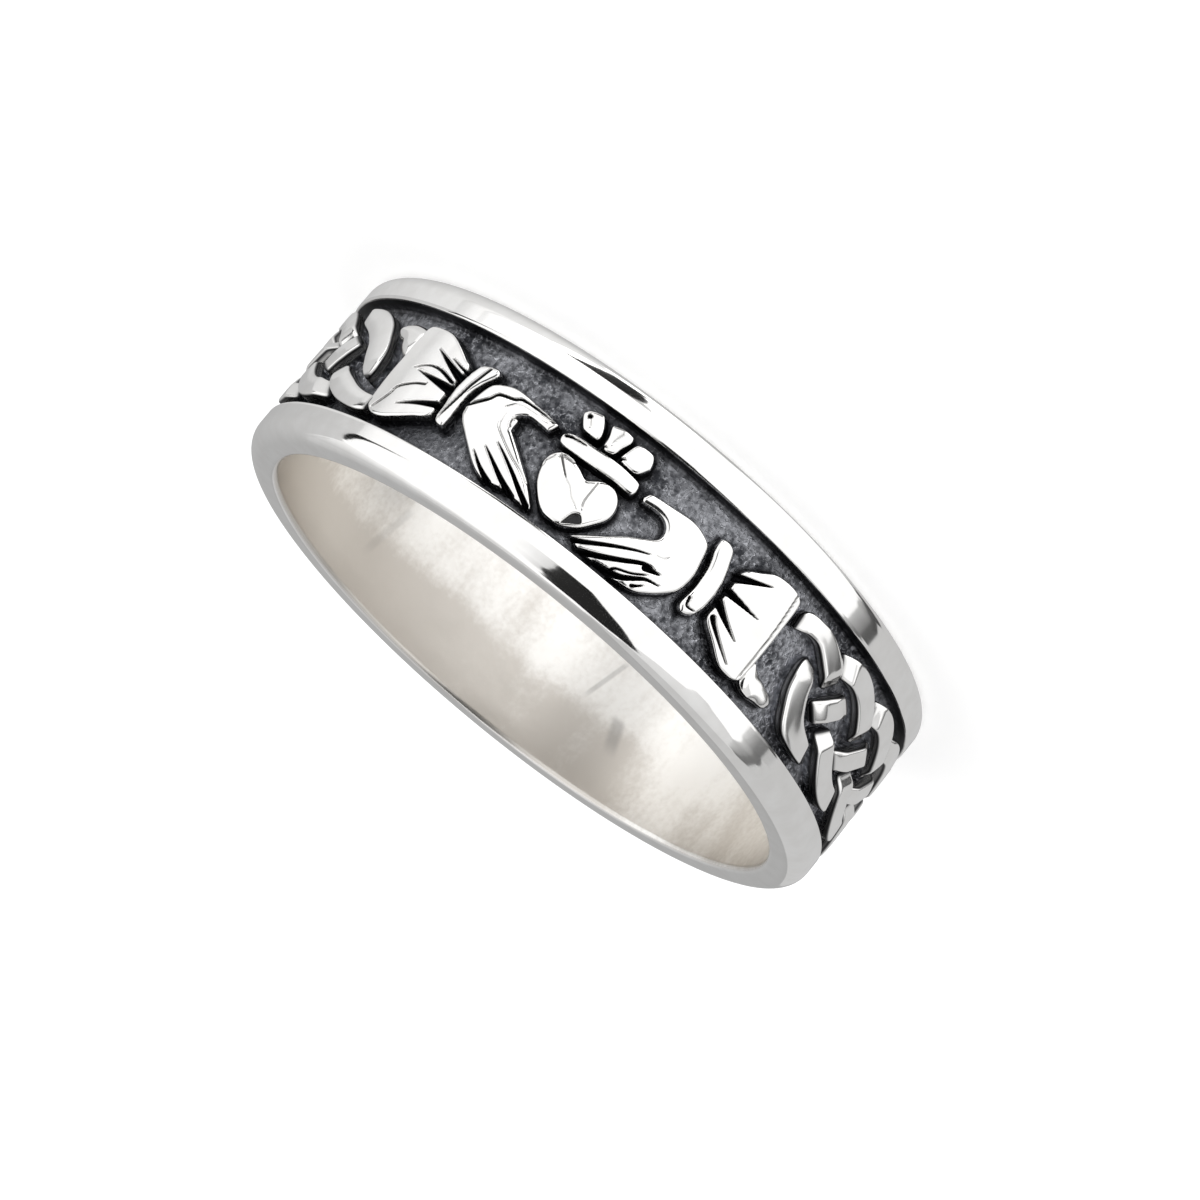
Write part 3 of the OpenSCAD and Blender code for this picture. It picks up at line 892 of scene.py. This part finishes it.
# Each card has rows of (rise above the floor, turn from, turn to) in degrees, and
# the glow at the first and at the second turn. Turn 0 is straight out from the
# heart. The first card hangs nearest, and each next one a step farther out.
CARD_R = 3.0
CARD_STEP = 0.01
STUDIO_LIGHT = 1.12
studio_cards = {
    "camera_gap": (
        [(-7, 1, 14), (0, 0, 17), (8, 0, 19.5), (16, 0, 22.5), (24, -1, 26.5), (32, -2, 30.5),
         (40, -3, 34), (48, -6, 38.5), (56, -9, 44), (64, -12, 55), (72, -16, 68), (80, -32, 80),
         (86, -110, 150), (90, -180, 180)],
        0.025, 0.015,
    ),
    "camera_shade": ([(-7, -14, 2), (40, -16, 0), (56, -24, -6), (72, -34, -14)], 1.1, 0.72),
    "left_gap": (
        [(-12, -87.4, -62), (-9, -88.2, -77), (-5, -89.2, -82), (0, -89.6, -84),
         (10, -91.2, -87.2), (19, -93.4, -92.4)],
        0.0, 0.0,
    ),
    "right_gap": (
        [(-14, 91, 96.5), (16, 92, 97), (24, 95, 99.5), (32, 98, 104), (40, 105, 112), (48, 113, 118)],
        0.2, 0.14,
    ),
    "right_shade": (
        [(-14, 84.5, 91), (16, 84.5, 92), (24, 85, 95), (32, 90, 98), (40, 96, 105), (48, 108, 113)],
        0.6, 0.25,
    ),
    "low_gap": (
        [(-78, -82, -56), (-72, -66, -42), (-64, -54, -24), (-56, -45, -19), (-48, -42, -15.5),
         (-40, -39.5, -14), (-32, -39.5, -13.5), (-24, -41, -16), (-18.5, -48, -20)],
        0.06, 0.01,
    ),
    "low_shade": ([(-31, -13.5, -11), (-24, -16, -8.5), (-18, -20, -7)], 0.5, 0.7),
    "low_right_gap": (
        [(-54, 134, 165), (-48, 119, 150), (-40, 108, 117), (-32, 103, 109), (-24, 99, 104.5),
         (-14, 96, 102)],
        0.12, 0.05,
    ),
    "low_right_shade": (
        [(-50, 114, 124), (-40, 99.5, 109), (-32, 93, 104), (-24, 90, 100), (-14, 87.5, 97)],
        0.5, 0.16,
    ),
    "right_wall": (
        [(-14, 95, 180), (24, 98, 180), (32, 103, 180), (40, 111, 180), (48, 117, 180),
         (56, 118, 180), (80, 90, 180)],
        0.58, 0.58,
    ),
    "right_high_wall": (
        [(0, 60, 66), (8, 59, 69), (16, 59, 78), (24, 59, 86), (32, 56, 100), (40, 50, 112),
         (48, 48, 118), (56, 46, 120), (64, 55, 115), (78, 70, 100)],
        0.8, 0.7,
    ),
    "left_high_wall": (
        [(26, -128, -97), (36, -130, -97), (45, -134, -97), (60, -150, -104), (74, -180, -120)],
        0.58, 1.0,
    ),
    "left_wall": (
        [(-14, -180, -87), (15, -180, -92), (28, -180, -99), (30, -180, -126),
         (45, -180, -132), (74, -180, -175)],
        0.4, 0.64,
    ),
    "low_left_edge": ([(-24, -90, -64), (-20, -90, -76), (-13, -90, -80)], 0.72, 1.12),
    "low_left_wall": ([(-70, -180, -60), (-50, -180, -56), (-30, -180, -54), (-14, -180, -78)], 0.44, 0.92),
    "low_right_wall": ([(-52, 150, 180), (-45, 118, 180), (-30, 104, 180), (-14, 97, 180)], 0.6, 0.56),
    "low_fill": ([(-85, -180, 180), (-60, -110, 130), (-40, -85, 98), (-17, -60, 86)], 2.3, 1.1),
}


def make_card_material():
    """Light that each card's own glow sets. Only reflections meet it, so the cards
    aren't sampled as lamps."""
    material = paper("card", (0, 0, 0))
    material.cycles.emission_sampling = "NONE"
    tree = material.node_tree
    shader = tree.nodes["Principled BSDF"]
    glow = Field(tree).node("ShaderNodeAttribute", {"attribute_name": "glow"}, output=2)
    tree.links.new(glow.socket, shader.inputs["Emission Color"])
    shader.inputs["Specular IOR Level"].default_value = 0
    shader.inputs["Emission Strength"].default_value = 1
    return material


card_material = make_card_material()


def hang_card(name, away, rows, first_glow, second_glow):
    rises, lefts, rights = (np.array(column, float) for column in zip(*rows))
    bm = bmesh.new()
    bmesh.ops.create_grid(bm, x_segments=16, y_segments=48, size=0.5)
    glow = bm.verts.layers.float.new("glow")
    for v in bm.verts:
        across, rise = v.co.x + 0.5, rises[0] + (rises[-1] - rises[0]) * (v.co.y + 0.5)
        left, right = (np.interp(rise, rises, edge) for edge in (lefts, rights))
        turn, rise = math.radians(left + (right - left) * across), math.radians(rise)
        v[glow] = first_glow + (second_glow - first_glow) * across
        v.co = (
            -away * math.cos(rise) * math.sin(turn),
            -away * math.cos(rise) * math.cos(turn),
            away * math.sin(rise),
        )
    mesh = bpy.data.meshes.new(name)
    bm.to_mesh(mesh)
    bm.free()
    mesh.materials.append(card_material)
    card = bpy.data.objects.new(name, mesh)
    card.visible_camera = False
    card.visible_diffuse = False
    card.visible_shadow = False
    bpy.context.scene.collection.objects.link(card)


for place, (name, (rows, *glows)) in enumerate(studio_cards.items()):
    hang_card(name, CARD_R * (1 + CARD_STEP * place), rows, *glows)

world = bpy.data.worlds.new("studio")
world.use_nodes = True
world.node_tree.nodes["Background"].inputs["Color"].default_value = (1, 1, 1, 1)
world.node_tree.nodes["Background"].inputs["Strength"].default_value = STUDIO_LIGHT
bpy.context.scene.world = world

bpy.context.scene.view_settings.view_transform = "Standard"
